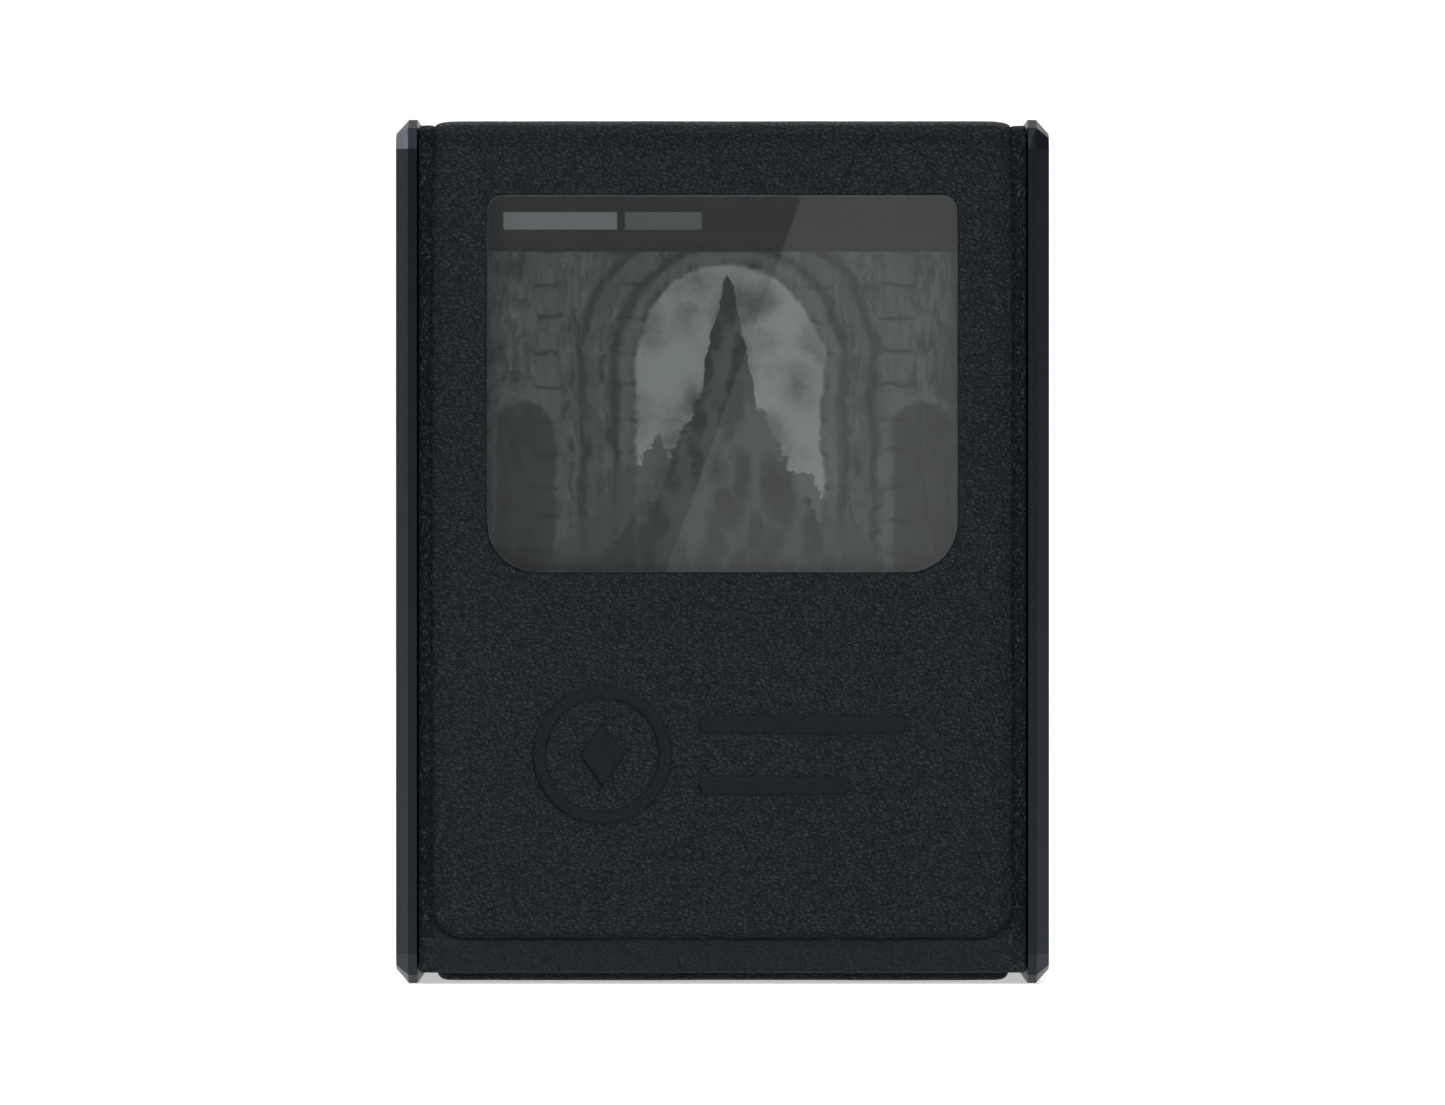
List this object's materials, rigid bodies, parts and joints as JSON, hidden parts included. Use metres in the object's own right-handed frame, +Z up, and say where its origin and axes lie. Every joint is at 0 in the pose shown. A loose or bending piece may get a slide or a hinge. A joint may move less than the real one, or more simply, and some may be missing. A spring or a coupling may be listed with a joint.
{
  "type": "card deck box",
  "caption": "Card deck box with rigid side plates and a padded leather cover that folds over the top and front, with a clear window for a display card.",
  "frame": {"origin": "on the ground, centred under the box", "axes": "+Z up; -Y is the front, where the flap and window are; X runs from one side plate to the other"},
  "size_m": [0.0816, 0.09, 0.108],
  "materials": {
    "leather": "matte",
    "plate_plastic": "matte",
    "lining": "matte",
    "foam": "matte",
    "greyboard": "matte",
    "magnet": "polished",
    "screw_steel": "satin",
    "clear_lens": "gloss",
    "clear_sleeve": "gloss",
    "card_print": "satin"
  },
  "bodies": {
    "box": {"front_wall_board": "greyboard", "back_wall_board": "greyboard", "left_wall_board": "greyboard", "right_wall_board": "greyboard", "floor_board": "greyboard", "front_wall_leather": "leather", "back_wall_leather": "leather", "left_wall_leather": "leather", "right_wall_leather": "leather", "base_leather": "leather", "back_foam": "foam", "base_foam": "foam", "wall_lining": "lining", "floor_pad": "lining", "wall_magnets": "magnet", "left_side_plate": "plate_plastic", "right_side_plate": "plate_plastic", "left_plate_screws": "screw_steel", "right_plate_screws": "screw_steel"},
    "lid": {"lid_board": "greyboard", "lid_foam": "foam", "lid_leather": "leather", "lid_lining": "lining", "lid_cushion": "lining", "back_hinge_leather": "leather", "back_hinge_lining": "lining"},
    "flap": {"flap_front_board": "greyboard", "flap_foam": "foam", "flap_leather": "leather", "window_lens": "clear_lens", "pocket_spacer": "greyboard", "flap_back_board": "greyboard", "flap_lining": "lining", "flap_magnets": "magnet", "front_hinge_leather": "leather", "front_hinge_lining": "lining"},
    "card": {"display_card": "card_print", "card_sleeve": "clear_sleeve"}
  },
  "joints": [
    {"name": "lid_hinge", "type": "hinge", "parent": "box", "child": "lid", "pos_m": [0, 0.04351, 0.10666], "axis": [-1, 0, 0], "range_deg": [0, 180], "deforming": ["back_hinge_leather", "back_hinge_lining"]},
    {"name": "flap_hinge", "type": "hinge", "parent": "lid", "child": "flap", "pos_m": [0, -0.04351, 0.10666], "axis": [-1, 0, 0], "range_deg": [0, 180], "deforming": ["front_hinge_leather", "front_hinge_lining"]},
    {"name": "display_card_slide", "type": "slide", "parent": "flap", "child": "card", "axis": [0, 0, -1], "range_m": [0, 0.0094]}
  ]
}
